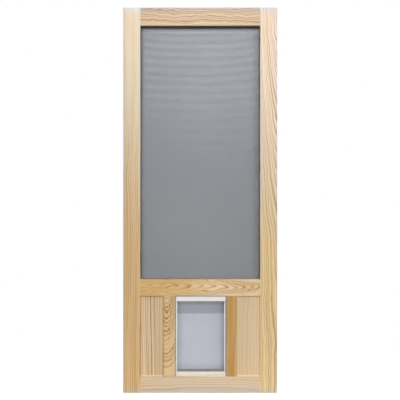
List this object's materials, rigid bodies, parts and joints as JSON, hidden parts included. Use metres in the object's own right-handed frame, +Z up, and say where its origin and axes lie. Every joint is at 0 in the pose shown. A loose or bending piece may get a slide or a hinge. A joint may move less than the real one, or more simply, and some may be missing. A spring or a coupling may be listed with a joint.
{
  "type": "wooden screen door with pet flap",
  "caption": "Pine screen door leaf with a tall insect screen over flat lower panels and a built-in pet door, whose vinyl flap swings both ways on its rod.",
  "frame": {"origin": "the foot of the hinge edge, in the middle of the leaf's thickness", "axes": "+X from the hinge edge to the latch edge, +Y from the front to the back, +Z up"},
  "size_m": [0.8128, 0.0286, 2.032],
  "materials": {
    "pine": "bare planed softwood",
    "screen_cloth": "charcoal coated weave",
    "spline_vinyl": "matte black vinyl",
    "white_plastic": "satin white moulding",
    "rod_steel": "drawn rod",
    "flap_vinyl": "translucent grey vinyl",
    "weight_bar": "dark magnetic rubber"
  },
  "bodies": {
    "door": {"hinge_stile": "pine", "latch_stile": "pine", "top_rail": "pine", "lock_rail": "pine", "bottom_rail": "pine", "hinge_side_mullion": "pine", "latch_side_mullion": "pine", "hinge_side_panel": "pine", "latch_side_panel": "pine", "insect_screen": "screen_cloth", "screen_spline_hinge_side": "spline_vinyl", "screen_spline_latch_side": "spline_vinyl", "screen_spline_bottom": "spline_vinyl", "screen_spline_top": "spline_vinyl", "pet_frame_head": "white_plastic", "pet_frame_sill": "white_plastic", "pet_frame_hinge_jamb": "white_plastic", "pet_frame_latch_jamb": "white_plastic", "flap_pivot_rod": "rod_steel"},
    "flap": {"pet_flap": "flap_vinyl", "flap_weight_bar": "weight_bar"}
  },
  "joints": [
    {"name": "flap_swing", "type": "hinge", "parent": "door", "child": "flap", "pos_m": [0.40965, 0, 0.4735], "axis": [1, 0, 0], "range_deg": [-90, 90]}
  ]
}
